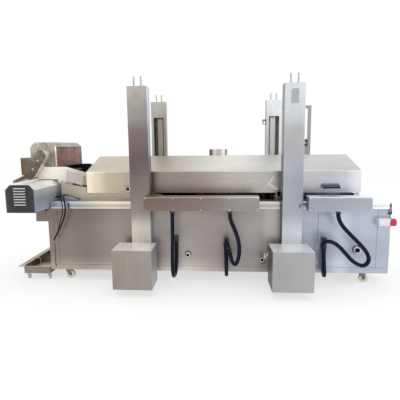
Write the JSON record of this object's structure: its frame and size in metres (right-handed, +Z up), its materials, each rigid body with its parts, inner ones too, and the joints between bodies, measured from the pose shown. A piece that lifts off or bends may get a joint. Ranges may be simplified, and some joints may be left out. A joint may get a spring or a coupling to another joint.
{
  "type": "continuous fryer",
  "caption": "Through-feed deep fryer: long oil tank on casters, inclined mesh conveyor, gabled hood on four chain-hoist columns, immersed heaters, crumb scraper and tray.",
  "frame": {"origin": "centre of the bounding box at floor level", "axes": "+X from the discharge end to the infeed end, -Y towards the operator, +Z up"},
  "size_m": [4.389, 1.618, 2.304],
  "materials": {
    "stainless_sheet": "polished and brushed stainless sheet",
    "black_rubber": "matt black flexible conduit and cable",
    "black_plastic": "black moulded",
    "belt_wire": "oil-darkened wire mesh",
    "chain_steel": "oiled roller chain",
    "zinc_steel": "zinc-plated",
    "heater_sheath": "heater sheath",
    "motor_paint": "satin enamel",
    "white_plastic": "white moulded",
    "red_plastic": "red moulded",
    "caster_steel": "pressed fork",
    "cream_nylon": "cream nylon wheel",
    "roller_steel": "turned roller",
    "control_grey": "grey satin"
  },
  "bodies": {
    "base": {"base_frame": "stainless_sheet", "cross_ties": "stainless_sheet", "body_panels": "stainless_sheet", "tank_floor": "stainless_sheet", "tank_walls": "stainless_sheet", "tank_flange": "stainless_sheet", "front_columns": "stainless_sheet", "rear_columns": "stainless_sheet", "drive_boxes": "stainless_sheet", "gearmotors": "motor_paint", "lift_bearings": "zinc_steel", "lift_chains": "chain_steel", "chain_tensioners": "zinc_steel", "heater_boxes": "stainless_sheet", "heater_tubes": "heater_sheath", "conduit_left": "black_rubber", "conduit_middle": "black_rubber", "conduit_right": "black_rubber", "conduit_glands": "black_plastic", "drain_pipes": "stainless_sheet", "power_inlet": "white_plastic", "inlet_nose": "red_plastic", "control_post": "control_grey", "parking_hooks": "zinc_steel", "motor_cover": "stainless_sheet", "motor_lead_thick": "black_rubber", "motor_lead_thin": "black_rubber"},
    "conveyor": {"conveyor_frames": "stainless_sheet", "mesh_belt": "belt_wire", "head_cover": "stainless_sheet", "drive_gearmotor": "motor_paint", "chain_guard": "stainless_sheet", "discharge_chute": "stainless_sheet"},
    "hood": {"hood_shell": "stainless_sheet", "exhaust_collar": "stainless_sheet", "lift_carriages": "stainless_sheet", "hood_handle": "black_plastic"},
    "front_hook": {"front_hook": "zinc_steel"},
    "rear_hook": {"rear_hook": "zinc_steel"},
    "head_roller": {"head_shaft": "roller_steel"},
    "tail_roller": {"tail_shaft": "roller_steel"},
    "scraper": {"scraper_shaft": "zinc_steel"},
    "left_lift_drive": {"left_lift_shaft": "zinc_steel"},
    "right_lift_drive": {"right_lift_shaft": "zinc_steel"},
    "left_idlers": {"left_idler_wheels": "chain_steel"},
    "right_idlers": {"right_idler_wheels": "chain_steel"},
    "drain_lever": {"drain_lever": "zinc_steel"},
    "tray": {"tray_pan": "stainless_sheet", "tray_forks": "zinc_steel"},
    "tray_front_rollers": {"tray_wheels_front": "cream_nylon"},
    "tray_rear_rollers": {"tray_wheels_rear": "cream_nylon"},
    "fork_front_left": {"caster_fork_front_left": "caster_steel"},
    "wheel_front_left": {"caster_wheel_front_left": "cream_nylon"},
    "fork_front_right": {"caster_fork_front_right": "caster_steel"},
    "wheel_front_right": {"caster_wheel_front_right": "cream_nylon"},
    "fork_rear_left": {"caster_fork_rear_left": "caster_steel"},
    "wheel_rear_left": {"caster_wheel_rear_left": "cream_nylon"},
    "fork_rear_right": {"caster_fork_rear_right": "caster_steel"},
    "wheel_rear_right": {"caster_wheel_rear_right": "cream_nylon"}
  },
  "joints": [
    {"name": "conveyor_lift", "type": "slide", "parent": "base", "child": "conveyor", "axis": [0, 0, 1], "range_m": [0, 0.3]},
    {"name": "hood_lift", "type": "slide", "parent": "conveyor", "child": "hood", "axis": [0, 0, 1], "range_m": [0, 0.4]},
    {"name": "front_hook_swing", "type": "hinge", "parent": "hood", "child": "front_hook", "pos_m": [0.924, -0.3145, 1.212], "axis": [0, 1, 0], "range_deg": [0, 50]},
    {"name": "rear_hook_swing", "type": "hinge", "parent": "hood", "child": "rear_hook", "pos_m": [0.924, 0.5955, 1.212], "axis": [0, 1, 0], "range_deg": [0, 50]},
    {"name": "head_turn", "type": "hinge", "parent": "conveyor", "child": "head_roller", "pos_m": [-1.905, 0.1405, 1.255], "axis": [0, 1, 0], "continuous": true},
    {"name": "tail_turn", "type": "hinge", "parent": "conveyor", "child": "tail_roller", "pos_m": [1.7995, 0.1405, 0.775], "axis": [0, 1, 0], "continuous": true},
    {"name": "scraper_turn", "type": "hinge", "parent": "base", "child": "scraper", "pos_m": [-1.7855, 0.1405, 1.06], "axis": [0, 1, 0], "continuous": true},
    {"name": "drain_lever_turn", "type": "hinge", "parent": "base", "child": "drain_lever", "pos_m": [0.8505, -0.478, 0.378], "axis": [0, 0, -1], "range_deg": [0, 90]},
    {"name": "tray_slide", "type": "slide", "parent": "base", "child": "tray", "axis": [0, -1, 0], "range_m": [0, 0.75]},
    {"name": "left_lift_drive_turn", "type": "hinge", "parent": "base", "child": "left_lift_drive", "pos_m": [-0.548, 0.1405, 0.3], "axis": [0, 1, 0], "continuous": true},
    {"name": "left_idlers_turn", "type": "hinge", "parent": "base", "child": "left_idlers", "pos_m": [-0.548, 0.1405, 2.09], "axis": [0, 1, 0], "continuous": true},
    {"name": "right_lift_drive_turn", "type": "hinge", "parent": "base", "child": "right_lift_drive", "pos_m": [1.094, 0.1405, 0.3], "axis": [0, 1, 0], "continuous": true},
    {"name": "right_idlers_turn", "type": "hinge", "parent": "base", "child": "right_idlers", "pos_m": [1.094, 0.1405, 2.09], "axis": [0, 1, 0], "continuous": true},
    {"name": "tray_front_rollers_turn", "type": "hinge", "parent": "tray", "child": "tray_front_rollers", "pos_m": [-1.85, -0.353, 0.025], "axis": [1, 0, 0], "continuous": true},
    {"name": "tray_rear_rollers_turn", "type": "hinge", "parent": "tray", "child": "tray_rear_rollers", "pos_m": [-1.85, 0.634, 0.025], "axis": [1, 0, 0], "continuous": true},
    {"name": "swivel_front_left", "type": "hinge", "parent": "base", "child": "fork_front_left", "pos_m": [-1.509, -0.318, 0.13], "axis": [0, 0, 1], "continuous": true},
    {"name": "roll_front_left", "type": "hinge", "parent": "fork_front_left", "child": "wheel_front_left", "pos_m": [-1.477, -0.318, 0.05], "axis": [0, 1, 0], "continuous": true},
    {"name": "swivel_front_right", "type": "hinge", "parent": "base", "child": "fork_front_right", "pos_m": [1.926, -0.318, 0.13], "axis": [0, 0, 1], "continuous": true},
    {"name": "roll_front_right", "type": "hinge", "parent": "fork_front_right", "child": "wheel_front_right", "pos_m": [1.958, -0.318, 0.05], "axis": [0, 1, 0], "continuous": true},
    {"name": "swivel_rear_left", "type": "hinge", "parent": "base", "child": "fork_rear_left", "pos_m": [-1.509, 0.599, 0.13], "axis": [0, 0, 1], "continuous": true},
    {"name": "roll_rear_left", "type": "hinge", "parent": "fork_rear_left", "child": "wheel_rear_left", "pos_m": [-1.477, 0.599, 0.05], "axis": [0, 1, 0], "continuous": true},
    {"name": "swivel_rear_right", "type": "hinge", "parent": "base", "child": "fork_rear_right", "pos_m": [1.926, 0.599, 0.13], "axis": [0, 0, 1], "continuous": true},
    {"name": "roll_rear_right", "type": "hinge", "parent": "fork_rear_right", "child": "wheel_rear_right", "pos_m": [1.958, 0.599, 0.05], "axis": [0, 1, 0], "continuous": true}
  ],
  "couplings": [
    {"joint": "tail_turn", "follows": "head_turn", "ratio": 1.2243},
    {"joint": "left_lift_drive_turn", "follows": "hood_lift", "rad_per_m": 20},
    {"joint": "left_idlers_turn", "follows": "hood_lift", "rad_per_m": 20},
    {"joint": "right_lift_drive_turn", "follows": "hood_lift", "rad_per_m": 20},
    {"joint": "right_idlers_turn", "follows": "hood_lift", "rad_per_m": 20},
    {"joint": "tray_front_rollers_turn", "follows": "tray_slide", "rad_per_m": 40},
    {"joint": "tray_rear_rollers_turn", "follows": "tray_slide", "rad_per_m": 40}
  ]
}
